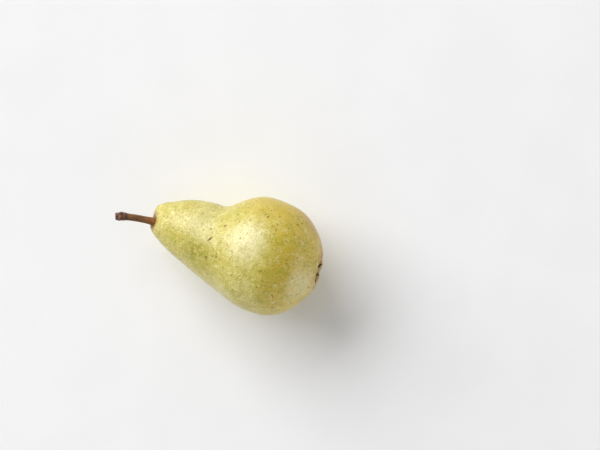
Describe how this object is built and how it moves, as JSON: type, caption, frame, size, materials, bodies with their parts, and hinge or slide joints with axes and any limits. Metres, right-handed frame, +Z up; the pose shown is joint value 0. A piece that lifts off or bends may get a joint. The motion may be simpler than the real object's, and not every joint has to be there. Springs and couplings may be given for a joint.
{
  "type": "pear",
  "caption": "Whole dessert pear lying on its side, with a bent woody stem and a dried calyx in its basin.",
  "frame": {"origin": "middle of the small flat spot that the fruit lies on, level with the surface under it", "axes": "+X from the stem end towards the calyx end, level; +Z up, square to the flat spot; +Y to the left of someone at the stem end looking along +X"},
  "size_m": [0.1244, 0.0672, 0.0682],
  "materials": {
    "skin": "satin",
    "stem_wood": "matte",
    "dried_calyx": "matte"
  },
  "bodies": {
    "root": {"fruit": "skin", "stem": "stem_wood", "sepal_1": "dried_calyx", "sepal_2": "dried_calyx", "sepal_3": "dried_calyx", "sepal_4": "dried_calyx", "sepal_5": "dried_calyx", "stamen_tuft": "dried_calyx"}
  },
  "joints": []
}
